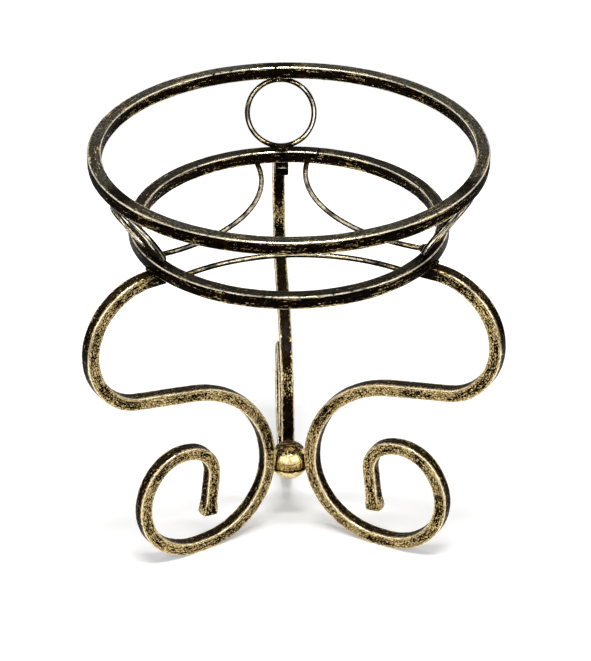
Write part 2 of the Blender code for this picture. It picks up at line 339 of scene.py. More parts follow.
def joinFinish(shader, layers, bumpDepth):
    # Leads the layers to the shader, their height through a bump of this depth
    bumpInputs = {"Height": layers["Height"], "Distance": bumpDepth, "Strength": 1.0}
    bump = nextNode("ShaderNodeBump", bumpInputs)
    feedNode(shader, {
        "Base Color": layers["Colour"], "Metallic": layers["Metallic"],
        "Roughness": layers["Roughness"], "Coat Weight": layers["Coat"],
        "Normal": bump.outputs[0], **lacquerGloss,
    })


barMix = {
    "edgeFrom": (0.1, 0.5),         # where on the edge mask the edges' gold starts and is full
    "rubPatch": (0.38, 0.60), "filmPatch": (0.36, 0.64),
}


def makeBarFinish(name, look):
    # For swept pieces. Gold gathers on the flanks, the edges and towards the free end by as much
    # as the look says. A slow noise along the bar varies how far the edges are rubbed and how
    # thick the film of bronze lies on what looks up. The film on upward faces is painted light: it
    # makes the tops lighter, as the light from above does. On the wires the rubbed edge mask is a
    # painted highlight line.
    finish, tree, shader = startFinish(name)
    place, edge, flank, end = readWear(tree)
    nearEdge = rangeNode(edge, *barMix["edgeFrom"])
    corner = rangeNode(edge, *look["rubFrom"])
    stretch = noiseNode(place, 1 / look["patchSize"], 1.0)
    rub = rangeNode(stretch, *barMix["rubPatch"], look["rubLeast"], 1.0)
    clear = mathNode("ADD", flank, 1.0, clamp=True)
    film = rangeNode(stretch, *barMix["filmPatch"], 1.0, look["filmLeast"])
    share = multiplyAdd(flank, look["flankGold"], look["gold"])
    share = multiplyAdd(end, look["endGold"], share)
    share = multiplyAdd(nearEdge, look["edgeGold"], share)
    flecks = useGroup(tree, fleckGroup, {
        "Place": place, "Amount": share, "Size": look["fleckSize"],
        "Drawn Out": look["drawnOut"], "Strokes": look["strokes"],
        "Patch Size": look["patchSize"], "Patchy": look["patchy"], "Pits": look["pits"],
    })
    # Painted light: bronze film on the faces that look up, lighter as if lit from above, over a
    # thin even film all over
    upward = useGroup(tree, upwardGroup, {})["Mask"]
    filmAndTopLight = multiplyAdd(upward, look["film"], look["filmAll"])
    layers = useGroup(tree, layerGroup, {
        "Place": place, "Flecks": flecks["Mask"], "Tone": flecks["Tone"],
        "Edge": multiply(corner, multiply(rub, look["rub"])),
        "Film": multiply(multiply(film, clear), filmAndTopLight),
        "Bronze": look["bronze"], "Rubbed": look["rubbed"], "Polish": look["polish"],
    })
    joinFinish(shader, layers, look["bump"])
    return finish


# In a look, gold is the share of a plain face. More comes on flanks, ends and edges. The rub is
# the pale wear of the edges, on the wires a painted highlight line, and film is bronze powder on
# what faces up, painted light that makes the tops lighter.
ringLook = {
    "gold": 0.19, "flankGold": 0.31, "endGold": 1.6, "edgeGold": 0.37, "fleckSize": 0.00085,
    "drawnOut": 0.40, "strokes": 0.55, "patchSize": 0.045, "patchy": 1.2, "pits": 0.7,
    "rub": 1.2, "rubFrom": (0.78, 0.97), "rubLeast": 0.45, "rubbed": (0.92, 0.82, 0.62, 1),
    "film": 0.95, "filmAll": 0.012, "filmLeast": 0.55, "bronze": (0.058, 0.054, 0.032, 1),
    "polish": 0.0, "bump": 0.00012,
}
legLook = {
    "gold": 0.12, "flankGold": 0.80, "endGold": 0.60, "edgeGold": 0.95, "fleckSize": 0.00088,
    "drawnOut": 0.60, "strokes": 0.38, "patchSize": 0.030, "patchy": 0.55, "pits": 1.0,
    "rub": 1.15, "rubFrom": (0.80, 0.98), "rubLeast": 0.7, "rubbed": (0.92, 0.80, 0.56, 1),
    "film": 0.20, "filmAll": 0.03, "filmLeast": 1.0, "bronze": (0.095, 0.067, 0.026, 1),
    "polish": 0.0, "bump": 0.00016,
}
# On the wires the pale rubbed colour lies on painted highlight lines, partly rub
wireLook = {
    "gold": 0.08, "flankGold": 0.0, "endGold": 0.0, "edgeGold": 0.9, "fleckSize": 0.0010,
    "drawnOut": 0.30, "strokes": 0.38, "patchSize": 0.016, "patchy": 1.0, "pits": 0.5,
    "rub": 1.1, "rubFrom": (0.55, 1.0), "rubLeast": 0.15, "rubbed": (0.95, 0.90, 0.78, 1),
    "film": 0.0, "filmAll": 0.05, "filmLeast": 1.0, "bronze": (0.085, 0.067, 0.038, 1),
    "polish": 0.35, "bump": 0.00004,
}
ringFinish = makeBarFinish("ringBronze", ringLook)
legFinish = makeBarFinish("legBronze", legLook)
wireFinish = makeBarFinish("wireBronze", wireLook)

# Heights on the ball are in radii over its middle. Its palest zone and the pale zone under the
# seam are painted highlights, where the front lamps and the bright paper reflect, and its dark
# crown is lacquer and painted reflection of the dark space overhead.
ballLook = {
    "fleckSize": 0.0012, "patchSize": 0.02, "bodyGold": 3.0, "crownGold": 0.55,
    "crown": (0.53, 0.66),          # where the crown's lacquer starts and is full
    "crownRagged": 0.36,            # how far its edge wanders
    "crownNoise": (260.0, 2.5, 0.6),
    "highlightHeight": 0.49,             # the middle of the palest zone
    "highlightFade": (0.17, 0.27),       # how far from there it starts and stops to fade
    "highlightGold": 3.0,
    "gleamUnder": -0.21, "underFade": 0.10, "underTone": 0.95,   # it is pale again under this
    "seamFade": 0.05,               # the pits over the seam end within this height
    "pittedOver": 0.42,             # more pits up to this far over the seam
    "seamLack": 1.4, "pittedLack": 0.72,    # gold missing there, as shares of the body's
    "pits": (0.75, 0.15), "cleanUnder": 0.7,        # pits on the body and on the clean zones
    "fleckTone": 0.40, "paleTone": 0.75,
    "film": 0.10, "polish": 0.66, "bump": 0.00002,
    "deepGold": (0.30, 0.160, 0.026, 1), "paleGold": (0.90, 0.75, 0.37, 1),
    "brown": (0.050, 0.024, 0.010, 1),
}


def makeBallFinish():
    # Bright gold with dark pits, palest in a zone over the middle and under the seam, and dark
    # lacquer with few flecks over the crown, whose edge wanders with a noise. The pale zones are
    # painted highlights where the front lamps and the bright paper reflect, and the crown's dark is
    # partly painted reflection of the dark space overhead.
    look = ballLook
    bodyGold = look["bodyGold"]
    gleamUnder = look["gleamUnder"]
    finish, tree, shader = startFinish("ballGold")
    place = addNode(tree, "ShaderNodeTexCoord").outputs["Object"]
    seam = readWear(tree)[1]
    height = nextNode("ShaderNodeSeparateXYZ", {0: place}).outputs["Z"]
    height = mathNode("DIVIDE", subtract(height, ballLow[2] + ballRadius), ballRadius)
    wander = subtract(noiseNode(place, *look["crownNoise"]), 0.5)
    # Dark crown: lacquer, and painted reflection of the dark space overhead
    crown = rangeNode(multiplyAdd(wander, look["crownRagged"], height), *look["crown"])
    fromHighlightBelt = mathNode("ABSOLUTE", subtract(height, look["highlightHeight"]))
    # Painted highlight: the palest band, where the front lamps reflect
    highlightBelt = rangeNode(fromHighlightBelt, *look["highlightFade"], 1.0, 0.0)
    # Painted highlight: pale again under the seam, where the bright paper reflects
    underFrom = gleamUnder - look["underFade"]
    under = rangeNode(height, underFrom, gleamUnder, look["underTone"], 0.0)
    pitted = rangeNode(height, gleamUnder, gleamUnder + look["pittedOver"], 1.0, 0.0)
    pitted = multiply(pitted, rangeNode(height, gleamUnder - look["seamFade"], gleamUnder))
    share = multiplyAdd(highlightBelt, look["highlightGold"], bodyGold)
    share = multiplyAdd(seam, -look["seamLack"] * bodyGold, share)
    share = multiplyAdd(pitted, -look["pittedLack"] * bodyGold, share)
    uncovered = subtract(1.0, crown)
    share = multiplyAdd(share, uncovered, multiply(crown, look["crownGold"]))
    clean = larger(highlightBelt, multiply(under, look["cleanUnder"]))
    flecks = useGroup(tree, fleckGroup, {
        "Place": place, "Amount": share, "Size": look["fleckSize"], "Drawn Out": 1.0,
        "Patch Size": look["patchSize"], "Pits": rangeNode(clean, 0.0, 1.0, *look["pits"]),
    })
    paleTone = multiply(larger(highlightBelt, under), look["paleTone"])
    tone = multiplyAdd(flecks["Tone"], look["fleckTone"], paleTone, clamp=True)
    layers = useGroup(tree, layerGroup, {
        "Place": place, "Flecks": flecks["Mask"], "Tone": tone, "Edge": 0.0,
        "Film": look["film"], "Deep Gold": look["deepGold"], "Pale Gold": look["paleGold"],
        "Brown": look["brown"], "Polish": multiply(uncovered, look["polish"]),
    })
    joinFinish(shader, layers, look["bump"])
    return finish


weldLook = {
    "gold": 0.15, "fleckSize": 0.0011, "patchSize": 0.01, "film": 0.05, "polish": 0.4,
    "bump": 0.00030,
}


def makeWeldFinish():
    # The lacquer pooled dark over the weld metal, with a few touches of gold
    look = weldLook
    finish, tree, shader = startFinish("weldDark")
    place = addNode(tree, "ShaderNodeTexCoord").outputs["Object"]
    flecks = useGroup(tree, fleckGroup, {
        "Place": place, "Amount": look["gold"], "Size": look["fleckSize"], "Drawn Out": 1.0,
        "Patch Size": look["patchSize"],
    })
    layers = useGroup(tree, layerGroup, {
        "Place": place, "Flecks": flecks["Mask"], "Tone": flecks["Tone"], "Edge": 0.0,
        "Film": look["film"], "Polish": look["polish"],
    })
    joinFinish(shader, layers, look["bump"])
    return finish


ballFinish = makeBallFinish()
weldFinish = makeWeldFinish()
print("finishes made")


# Surfaces

sharpAngle = 50     # edges sharper than this aren't shaded smooth


def makeSurface(name, grid, closedAlong=False, grain=None, masks=None):
    # A closed skin over a grid of points: rows run along the piece and close round on themselves,
    # and an open piece has a face across its first and its last row. The skin is turned where its
    # volume, a third of the sum of point times area over the faces, comes out negative.
    rows, columns = grid.shape[:2]
    points = grid.reshape(-1, 3)
    bands = np.arange(rows if closedAlong else rows - 1)
    row, column = np.meshgrid(bands, np.arange(columns), indexing="ij")
    nextColumn = (column + 1) % columns
    cornerRows = np.stack([row, row + 1, row + 1, row], -1).reshape(-1, 4)
    cornerColumns = np.stack([column, column, nextColumn, nextColumn], -1).reshape(-1, 4)
    quads = cornerRows % rows * columns + cornerColumns
    first, second, third = (points[quads[:, corner]] for corner in range(3))
    turned = np.einsum("ij,ij->", first, np.cross(second, third)) < 0
    around = np.arange(columns)
    caps = [] if closedAlong else [around, (rows - 1) * columns + around[::-1]]
    order = -1 if turned else 1
    faces = quads[:, ::order].tolist() + [cap[::order].tolist() for cap in caps]
    mesh = bpy.data.meshes.new(name)
    mesh.from_pydata(points.tolist(), [], faces)
    if grain is not None:
        # By face corner, so that the grain runs on across the joint of a closed bar
        places = [grain[cornerRows, cornerColumns][:, ::order].reshape(-1, 3)]
        places += [] if closedAlong else [grain[0][::order], grain[-1][::-order]]
        writeAttribute(mesh, "grainPlace", "CORNER", np.concatenate(places))
        writeAttribute(mesh, "wearMasks", "POINT", masks.reshape(-1, 3))
    mesh.shade_smooth()
    mesh.set_sharp_from_angle(angle=math.radians(sharpAngle))
    return addObject(name, mesh)


def writeAttribute(mesh, name, domain, values):
    # One vector for each point or each face corner
    layer = mesh.attributes.new(name, "FLOAT_VECTOR", domain)
    layer.data.foreach_set("vector", values.astype(np.float32).ravel())


def finishPiece(piece, finish, slotName, *nodes):
    # Gives the piece its finish, hangs it under the root body, and hides the nodes that it stands
    # for
    piece.data.materials.append(finish)
    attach(piece, "root")
    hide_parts(*nodes)


def directionsAt(azimuth):
    # Away from the axis and along the rings at this azimuth, in radians
    radial = np.array([math.cos(azimuth), math.sin(azimuth), 0.0])
    sideways = np.array([-math.sin(azimuth), math.cos(azimuth), 0.0])
    return radial, sideways


upright = np.array([0.0, 0.0, 1.0])


# Sections and unevenness

barShape = {
    "corner": 0.0015,       # radius of the tube's corners
    "facePoints": 12,       # points across each flat
    "cornerPoints": 6,      # points round each corner
    "edgeRise": 2.5,        # how steeply the edge mask rises towards a flat's sides
    "dish": 0.00022,        # how far the face inside a bend sinks
    "ripple": 0.00007,      # depth of the hand-worked unevenness
}


def barOutline(side, corner):
    # A square with quarter circles at its corners. Gives its points, its outward directions and
    # an edge mask: 0 in the middle of a flat, 0.5 at its sides, and 1 in the middle of a corner.
    half = side / 2
    inset = half - corner
    across = np.linspace(-inset, inset, barShape["facePoints"] + 1)[1:-1]
    sweep = np.linspace(0.0, math.pi / 2, barShape["cornerPoints"] + 1)
    flat = np.stack([np.full_like(across, half), across], -1)
    bend = np.stack([inset + corner * np.cos(sweep), inset + corner * np.sin(sweep)], -1)
    flatOut = np.tile([1.0, 0.0], (len(across), 1))
    bendOut = np.stack([np.cos(sweep), np.sin(sweep)], -1)
    quarter = np.concatenate([flat, bend])
    quarterOut = np.concatenate([flatOut, bendOut])
    rise = barShape["edgeRise"]
    flatEdge = 0.5 * np.clip(np.abs(across / inset) * rise - (rise - 1), 0, 1)
    quarterEdge = np.concatenate([flatEdge, 0.5 + 0.5 * np.sin(2 * sweep)])
    points, outward, edges = [], [], []
    for turn in range(4):
        angle = turn * math.pi / 2
        spin = np.array([[math.cos(angle), math.sin(angle)], [-math.sin(angle), math.cos(angle)]])
        points.append(quarter @ spin)
        outward.append(quarterOut @ spin)
        edges.append(quarterEdge)
    return np.concatenate(points), np.concatenate(outward), np.concatenate(edges)


# The waves are this long along the bar, and fewer than four crests go round it
waveShape = {"waves": 8, "size": 0.5, "shortest": 0.012, "longest": 0.060, "aroundUnder": 4}


def waves(length, angle, seed, wholeLength, depth):
    # A sum of eight sine waves that run along the bar and round it, squeezed to lie between the
    # full size and twice the depth under it. Each wave fits a whole number of times into the
    # bar's length, so that a closed bar has no step.
    rng = np.random.default_rng(seed)
    total = np.zeros(np.broadcast(length, angle).shape)
    for wave in range(waveShape["waves"]):
        count = round(wholeLength / rng.uniform(waveShape["shortest"], waveShape["longest"]))
        around = rng.integers(0, waveShape["aroundUnder"]) * angle + rng.uniform(0, 2 * math.pi)
        swing = np.sin(2 * math.pi * count * length / wholeLength + around)
        total = total + waveShape["size"] * swing
    return depth * (np.tanh(total) - 1)


def sweepBar(centre, first, second, rounds):
    # point = centre + a * first + b * second, for each outline point (a, b) at each place. The
    # second direction is the same all along.
    return centre[:, None, :] + rounds[..., 0:1] * first[:, None, :] + rounds[..., 1:2] * second


def grainOf(length, outline, shift):
    # The place along and across the bar, which its finish reads. The shift sets bars apart.
    grain = np.empty((len(length), len(outline), 3))
    grain[..., 0] = length[:, None] + shift
    grain[..., 1:] = outline[None]
    return grain


def bell(distance, width):
    # exp(-(distance / width) squared)
    return np.exp(-(distance / width) ** 2)


def circleTurns(count):
    # Angles evenly round a circle
    return np.arange(count) * 2 * math.pi / count


def parabola(across):
    # 1 in the middle of a flat and 0 at its sides
    return 1 - (2 * across / barSide) ** 2


# Rings

# Where each ring's ends are welded together, how brightly the file dressed it, how much the upper
# face is tarnished, and how much gold it lacks all over
ringWork = {
    "top_ring": {"joint": 92.0, "dressing": 0.1, "tarnish": 0.0, "sparse": 0.0},
    "lower_ring": {"joint": 76.0, "dressing": 1.0, "tarnish": 0.45, "sparse": 0.16},
}
ringShape = {
    "step": 0.0012,
    "ripple": 0.6,          # share of the bar's unevenness
    "jointWidth": 0.0006, "jointDepth": 0.00020, "jointSlant": 0.30,    # the groove at the joint
    "jointLeast": 0.6, "jointMore": 0.8, "jointPace": 5,    # its depth varies round the bar
    "dressed": -0.0034, "dressedWidth": 0.0017,     # the file's bright mark lies this far from it
    "sootReach": 0.015,     # the heat of the other welds blackens the bar this far
    "sootLack": 1.3, "jointLack": 2.0,      # gold missing in the soot and in the groove
    "rubLack": 0.8,         # and the share of the edges' wear missing in the groove
    "walls": 0.7,           # a face is a wall where this much of its direction points away
    "innerWear": 0.38,      # the inner wall's share of the outer wall's gold
    "wallGold": 0.2, "wallGrowth": 1.6,     # gold in the middle of a wall, and its growth downwards
}


def makeRing(node, seed):
    # centre = axis + radius * (cos, sin) of the turn, section = the bar's rounded square. Bell
    # curves of the length sink a groove at the joint, and mark the bright band beside it and
    # the soot where link rings and legs are welded on. Gold grows down the walls.
    shape = ringShape
    work = ringWork[node]
    low, high = boxOf(node)
    radius = (high[0] - low[0]) / 2 - barSide / 2
    wholeLength = 2 * math.pi * radius
    steps = round(wholeLength / shape["step"])
    even = np.arange(steps) * wholeLength / steps
    fine = np.array([0.25, 0.5, 0.75]) * shape["step"]      # closer rows at the joint
    length = np.unique(np.concatenate([even, fine, wholeLength - fine]))
    turn = math.radians(work["joint"]) + length / radius
    outDirection = np.stack([np.cos(turn), np.sin(turn), np.zeros(len(turn))], -1)
    centre = axisPoint + radius * outDirection + upright * ((low[2] + high[2]) / 2)
    outline, outward, edge = barOutline(barSide, barShape["corner"])
    angle = np.arctan2(outline[:, 1], outline[:, 0])
    depth = barShape["ripple"] * shape["ripple"]
    lift = waves(length[:, None], angle[None, :], seed, wholeLength, depth)
    sink = barShape["dish"] * np.clip(-outward[:, 0], 0, 1) * parabola(outline[:, 1])
    pastJoint = (length + wholeLength / 2) % wholeLength - wholeLength / 2
    toJoint = pastJoint[:, None] + shape["jointSlant"] * outline[None, :, 1]
    groove = bell(toJoint, shape["jointWidth"])
    around = np.sin(shape["jointPace"] * angle[None, :] + seed)
    uneven = shape["jointLeast"] + shape["jointMore"] * around ** 2
    offset = lift - sink[None, :] - shape["jointDepth"] * groove * uneven
    rounds = outline[None] + offset[..., None] * outward[None]
    grid = sweepBar(centre, outDirection, upright, rounds)
    grain = grainOf(np.append(length, wholeLength), outline, seed)
    third = 2 * math.pi / 3
    fromLeg = (turn - math.radians(legAngles["back"]) + third / 2) % third - third / 2
    soot = bell(fromLeg * radius, shape["sootReach"])[:, None]
    away, wall = outward[:, 0], shape["walls"]
    walls = (away > wall) + shape["innerWear"] * (away < -wall)
    growth = shape["wallGold"] - shape["wallGrowth"] * outline[:, 1] / barSide
    topFace = np.clip(2 * outward[:, 1] - 1, 0, 1)
    worked = np.clip(growth, 0, 1) * walls - work["tarnish"] * topFace - work["sparse"]
    filed = bell(toJoint - shape["dressed"], shape["dressedWidth"])
    masks = np.zeros((len(turn), len(outline), 3))
    masks[..., 0] = edge[None] * (1 - shape["rubLack"] * groove)
    masks[..., 1] = worked[None] - shape["sootLack"] * soot - shape["jointLack"] * groove
    masks[..., 2] = work["dressing"] * filed * (1 - topFace)
    ring = makeSurface(node + "_bar", grid, True, grain, masks)
    finishPiece(ring, ringFinish, "ring_bronze", node)


makeRing("top_ring", 3)
makeRing("lower_ring", 4)
print("rings made")


# Legs

# The leg's line, up and down from its waist. A bend is a radius, or a radius and a sweep.
legShape = {
    "knee": 0.078, "runSlope": 10.5,
    "shoulderLow": (0.040, 31.0), "shoulderTop": 0.050,
    "shin": 0.0565, "footFlat": 0.006,
    "heel": (0.045, 130.0), "curl": (0.030, 70.0), "tip": (0.023, 77.0), "tail": 0.034,
    "ballDrop": 0.010,      # the ball's centre lies this far under the waist
    "clearance": 0.0003,
    "step": 0.0010,
}
# The tube is open at its top end, and the seat's weld has run down over the mouth
mouthShape = {"wall": 0.0010, "depth": 0.006, "round": 0.0003, "filled": 0.0028}
# The free end is hammered wider and rounder, its flanks hollow and folded, its other faces bulged
endShape = {
    "length": 0.011, "side": 0.0118, "corner": 0.0026, "round": 0.0016,
    "fullLast": 0.15,       # the last stretch, as a share of the length, has the full shape
    "hollowLength": 0.024, "hollowDepth": 0.0009, "bulge": 0.0008,
    "hollowPace": 1.4, "hollowEase": 0.8,       # it deepens fast at first and then slower
    "fold": 0.0006, "foldPlace": 0.72, "foldWidth": 0.13,   # the last two in halves of a side
}
legWear = {
    "hollowPerBend": 0.03,      # a bend of 30 mm or less sinks the face inside it fully
    "blackHead": 0.014, "headLack": 1.2,    # the black top end, and the gold it lacks
    # Gold missing in the free end's trough and folds: painted shade in the creases
    "hollowLack": 0.9, "foldLack": 1.5,
    "flankFade": (0.3, 0.4), "bulgeFade": (0.4, 1.6),   # how sharply flanks and bulges start
    "bulgeGold": 2.6,
    # The lip's pale line is a painted highlight, weaker at the lip's sides
    "endLack": 0.6, "lipHighlightFade": 0.14,        # less wear on the free end's edges and the lip's sides
    "goldReach": 0.15,          # gold gathers over this length towards the free end
    "spotReach": 0.011, "spotGold": 1.65,   # the bright stretches of the faces
}
# How much gold each leg's flanks lack, how much the faces between them have, where along the leg
# these are rubbed brighter, and how much more gold there is towards the free end
legGold = {
    "back": {"sparse": 0.60, "faces": -0.46, "spots": (0.107, 0.268), "end": 1.0},
    "left": {"sparse": 0.0, "faces": 0.0, "spots": (), "end": 0.15},
    "right": {"sparse": 0.10, "faces": 0.0, "spots": (), "end": 0.70},
}


def walkBends(moves):
    # Length and heading at the end of each move. A move is (radius or length, sweep in degrees).
    lengths = [size * math.radians(abs(sweep)) if sweep else size for size, sweep in moves]
    turns = [math.radians(sweep) for size, sweep in moves]
    return np.cumsum(lengths), np.cumsum(turns)


def legLine(runLength, waistRadius, waistHeight):
    # The heading grows evenly along each bend, and the place is the sum of its cosine and sine
    # over the length, counted both ways from the waist, where the leg passes the axis.
    shape = legShape
    topSweep = 180 - shape["runSlope"] - shape["shoulderLow"][1]
    upLength, upTurn = walkBends([
        (shape["knee"], shape["runSlope"] - 90), (runLength, 0), shape["shoulderLow"],
        (shape["shoulderTop"], topSweep), (barSide, 0),
    ])
    downLength, downTurn = walkBends([
        (shape["shin"], 90), (shape["footFlat"], 0), shape["heel"], shape["curl"], shape["tip"],
        (shape["tail"], 0),
    ])
    knots = np.concatenate([-upLength[::-1], [0.0], downLength])
    headings = np.concatenate([upTurn[::-1], [0.0], downTurn]) - math.pi / 2
    steps = round((knots[-1] - knots[0]) / shape["step"]) + 1
    length = np.linspace(knots[0], knots[-1], steps)
    heading = np.interp(length, knots, headings)
    between = np.interp((length[1:] + length[:-1]) / 2, knots, headings)
    stride = length[1] - length[0]
    walked = np.cumsum(np.stack([np.cos(between), np.sin(between)], -1) * stride, 0)
    place = np.concatenate([[[0.0, 0.0]], walked])
    atWaist = np.array([np.interp(0.0, length, place[:, part]) for part in (0, 1)])
    place = place - atWaist + np.array([waistRadius, waistHeight])
    return length - length[0], heading, place


def solveLeg():
    # The waist lies where the ball touches the shin's bend, and the run is as long as it takes
    # for the top end to come flush with the lower ring's bore
    shape = legShape
    reach = ballRadius + shape["clearance"] + shape["shin"] + barSide / 2
    waistRadius = math.sqrt(reach ** 2 - shape["ballDrop"] ** 2) - shape["shin"]
    waistHeight = shape["shin"] + barSide / 2
    bore = (lowerHigh[0] - lowerLow[0]) / 2 - barSide
    slope = math.cos(math.radians(shape["runSlope"]))
    trial = legLine(barSide, waistRadius, waistHeight)[2]
    runLength = barSide + (bore - trial[0, 0]) / slope
    return legLine(runLength, waistRadius, waistHeight)


legLength, legHeading, legPlace = solveLeg()


def endRounding(distance, radius):
    # How far a quarter circle of this radius cuts back at this distance from the end
    missing = np.clip(radius - distance, 0, radius)
    return radius - np.sqrt(radius ** 2 - missing ** 2)


def makeLeg(side, seed):
    # The rounded square is carried along the leg's line in the upright plane at this azimuth. Near
    # the free end a trough sinks into both flanks, the section turns into a wider one with rounder
    # corners, the faces inside and outside the bend bulge as parabolas, and narrow bell curves
    # fold the metal in beside each corner.
    wear, gold = legWear, legGold[side]
    radial, sideways = directionsAt(math.radians(legAngles[side]))
    wholeLength = legLength[-1]
    fine = np.array([0.0, 0.1, 0.25, 0.5, 0.75]) * legShape["step"]     # closer rows at both ends
    length = np.unique(np.concatenate([fine, legLength, wholeLength - fine * 2]))
    fromEnd = wholeLength - length
    heading = np.interp(length, legLength, legHeading)
    reach, height = (np.interp(length, legLength, legPlace[:, part]) for part in (0, 1))
    centre = axisPoint + reach[:, None] * radial + height[:, None] * upright
    inside = -np.sin(heading)[:, None] * radial + np.cos(heading)[:, None] * upright
    outline, outward, edge = barOutline(barSide, barShape["corner"])
    across, over = 2 * outline[:, 0] / barSide, 2 * outline[:, 1] / barSide
    angle = np.arctan2(outline[:, 1], outline[:, 0])
    lift = waves(length[:, None], angle[None, :], seed, wholeLength, barShape["ripple"])
    bent = np.clip(np.gradient(heading, length) * wear["hollowPerBend"], -1, 1)
    hollow = np.clip(outward[None, :, 0] * bent[:, None], 0, 1) * (1 - over ** 2)[None]
    cut = endRounding(length, mouthShape["round"]) + endRounding(fromEnd, endShape["round"])
    near = np.clip(1 + endShape["fullLast"] - fromEnd / endShape["length"], 0, 1)[:, None]
    onset = near * near * (3 - 2 * near)
    endOutline = barOutline(endShape["side"], endShape["corner"])[0]
    shaped = outline[None] + onset[..., None] * (endOutline - outline)[None]
    offset = lift - barShape["dish"] * hollow - cut[:, None]
    rounds = shaped + offset[..., None] * outward[None]
    onFlank = np.abs(outward[:, 1]) > 0.5
    late = np.clip(1 - fromEnd / endShape["hollowLength"], 0, 1)[:, None]
    deepening = late * (endShape["hollowPace"] - endShape["hollowEase"] * late)
    trough = deepening * np.clip(1 - across ** 2, 0, 1)[None] ** 2 * onFlank
    fold = bell(np.abs(across) - endShape["foldPlace"], endShape["foldWidth"])
    crease = onset * fold[None] * onFlank
    lobe = onset * np.clip(1 - over ** 2, 0, 1)[None] * (np.abs(outward[:, 0]) > 0.5)
    inward = endShape["hollowDepth"] * trough + endShape["fold"] * crease
    rounds[..., 1] -= inward * np.sign(over)[None]
    rounds[..., 0] += endShape["bulge"] * lobe * np.sign(across)[None]
    grid = sweepBar(centre, inside, sideways, rounds)
    # The mouth: the inner square at the end face, and again at the bottom of the bore
    bore = outline * (1 - 2 * mouthShape["wall"] / barSide)
    filledTo = barSide / 2 - mouthShape["wall"] - mouthShape["filled"]
    upperLip = bore[:, 0] >= filledTo
    bore[:, 0] = np.minimum(bore[:, 0], filledTo)
    ends = [np.searchsorted(length, mouthShape["depth"]), 0]
    mouth = sweepBar(centre[ends], inside[ends], sideways, np.stack([bore, bore]))
    grid = np.concatenate([mouth, grid])
    grain = grainOf(np.concatenate([length[ends], length]), outline, 2 * seed)
    # Wear: edges, the gold of flanks and faces, and the gold towards the free end
    head = bell(length, wear["blackHead"])[:, None]
    flankFrom, flankOver = wear["flankFade"]
    bulgeFrom, bulgePace = wear["bulgeFade"]
    flank = np.clip((np.abs(outward[:, 1]) - flankFrom) / flankOver, 0, 1)[None]
    bulging = np.clip(bulgePace * np.abs(outward[:, 0]) - bulgeFrom, 0, 1)[None]
    # Painted shade: the trough and the folds of the free end lack gold, so they read dark
    creaseShade = np.clip(wear["hollowLack"] * trough + wear["foldLack"] * crease, 0, 1)
    bright = bell(length[:, None] - np.array(gold["spots"]), wear["spotReach"]).sum(axis=1)
    faces = gold["faces"] + wear["spotGold"] * bright
    flanks = np.maximum(flank, wear["bulgeGold"] * onset * bulging) - gold["sparse"]
    worked = np.maximum(flanks, faces[:, None])
    masks = np.zeros((len(length) + 2, len(outline), 3))
    masks[2:, :, 0] = edge[None] * (1 - head) * (1 - wear["endLack"] * onset)
    masks[2:, :, 1] = worked - creaseShade - wear["headLack"] * head
    masks[2:, :, 2] = gold["end"] * np.clip(1 - fromEnd / wear["goldReach"], 0, 1)[:, None]
    # Painted shade: the mouth and its rim carry no gold, so the open tube reads black inside
    masks[:3, :, 1] = -1.0      # the mouth and its rim are black
    # But the weld's lip gets a pale line, a painted highlight
    masks[1, upperLip, 0] = 1.0 - wear["lipHighlightFade"] * over[upperLip] ** 2
    leg = makeSurface("leg_" + side + "_bar", grid, False, grain, masks)
    finishPiece(leg, legFinish, "leg_bronze", "leg_" + side)


for legNumber, legSide in enumerate(legAngles):
    makeLeg(legSide, 11 + legNumber)
print("legs made")


# Wire

wireShape = {
    "wire": 0.004, "roundPoints": 28, "step": 0.0008, "ripple": 0.00003,
    "weldReach": 0.012,     # beside a weld the wire stays dark this far
    # The wear on the wires is a painted highlight line where the front lamps' highlight runs,
    # partly rub
    "leastAim": 0.3,        # keeps the wear weak where the front lies along the wire
    # How many degrees above level the rubbed sides face, between which cosines of the angle from
    # there the wear fades in, and how strong it gets
    "linkHighlightLine": {"rise": 26.0, "from": 0.90, "to": 0.985, "most": 1.0},
    "arcHighlightLine": {"rise": 32.0, "from": 0.86, "to": 0.98, "most": 0.82},
}
# The front is where the camera and the front lamps stand
towardsFrontLamps = [0.0, -1.0, 0.0]


def wireOutline(radius):
    # A circle: its points, its outward directions and its angles
    turn = circleTurns(wireShape["roundPoints"])
    outward = np.stack([np.cos(turn), np.sin(turn)], -1)
    return radius * outward, outward, turn


